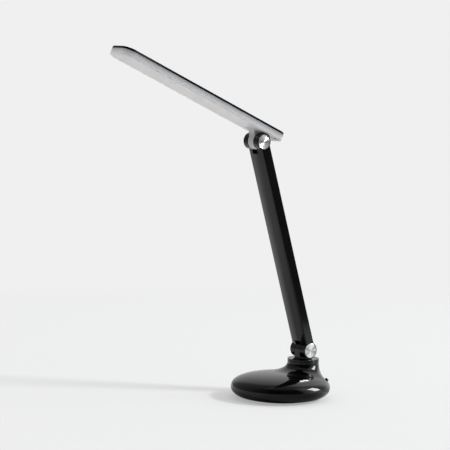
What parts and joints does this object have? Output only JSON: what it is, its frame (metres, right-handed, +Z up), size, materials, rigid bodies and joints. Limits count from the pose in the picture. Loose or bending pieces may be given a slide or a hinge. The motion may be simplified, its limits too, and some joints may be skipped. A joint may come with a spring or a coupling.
{
  "type": "desk lamp",
  "caption": "Folding desk lamp: weighted round base, swivelling neck, hinged arm and flat light head with a diffusing underside.",
  "frame": {"origin": "centre of the base on the underside of its foot pad, where the lamp stands", "axes": "+Z up, hinge axes along X, the head reaches towards -Y, the neck stands behind the centre at +Y"},
  "size_m": [0.135, 0.344, 0.4748],
  "materials": {
    "gloss_black": "high gloss moulded",
    "arm_black": "satin gloss moulded",
    "pale_shell": "translucent, satin",
    "disc_metal": "turned face",
    "steel": "bright zinc plate",
    "cast_weight": "raw",
    "foam": "matt",
    "washer_nylon": "natural nylon",
    "circuit": "solder mask",
    "led_strip": "white mask on aluminium",
    "led_chip": "phosphor",
    "diffuser_sheet": "opal",
    "jack_black": "moulded",
    "wire": "insulation"
  },
  "bodies": {
    "base": {"base_shell": "gloss_black", "foot_pad": "foam", "base_plate": "jack_black", "ballast": "cast_weight", "base_screws": "steel", "control_board": "circuit", "board_screws": "steel", "dc_jack": "jack_black", "jack_nut": "steel", "push_switch": "jack_black", "base_leads": "wire", "swivel_washer": "washer_nylon"},
    "button": {"power_button": "gloss_black"},
    "turntable": {"turntable": "gloss_black", "swivel_spring_washer": "steel", "swivel_nut": "steel", "neck_lead": "wire"},
    "arm": {"arm_body": "arm_black", "arm_cover": "arm_black", "arm_screws": "steel", "arm_stiffener": "steel", "arm_lead": "wire", "lower_pin": "steel", "lower_nut": "steel", "lower_friction_washers": "washer_nylon", "lower_disc_caps": "disc_metal", "upper_pin": "steel", "upper_nut": "steel", "upper_friction_washers": "washer_nylon", "upper_disc_caps": "disc_metal"},
    "head": {"head_shell": "pale_shell", "head_cover": "gloss_black", "led_board": "led_strip", "led_board_screws": "steel", "leds": "led_chip", "diffuser": "diffuser_sheet", "head_screws": "steel", "head_lead": "wire"}
  },
  "joints": [
    {"name": "neck_swivel", "type": "hinge", "parent": "base", "child": "turntable", "pos_m": [0, 0.0393, 0.0515], "axis": [0, 0, 1], "range_deg": [-90, 90]},
    {"name": "arm_fold", "type": "hinge", "parent": "turntable", "child": "arm", "pos_m": [0, 0.0393, 0.0635], "axis": [1, 0, 0], "range_deg": [-32, 73]},
    {"name": "head_fold", "type": "hinge", "parent": "arm", "child": "head", "pos_m": [0, -0.04841, 0.35039], "axis": [1, 0, 0], "range_deg": [-49, 131]},
    {"name": "button_press", "type": "slide", "parent": "base", "child": "button", "axis": [-0.3294, -0.5706, -0.7523], "range_m": [0, 0.0008], "stiffness_N_per_m": 1500}
  ]
}
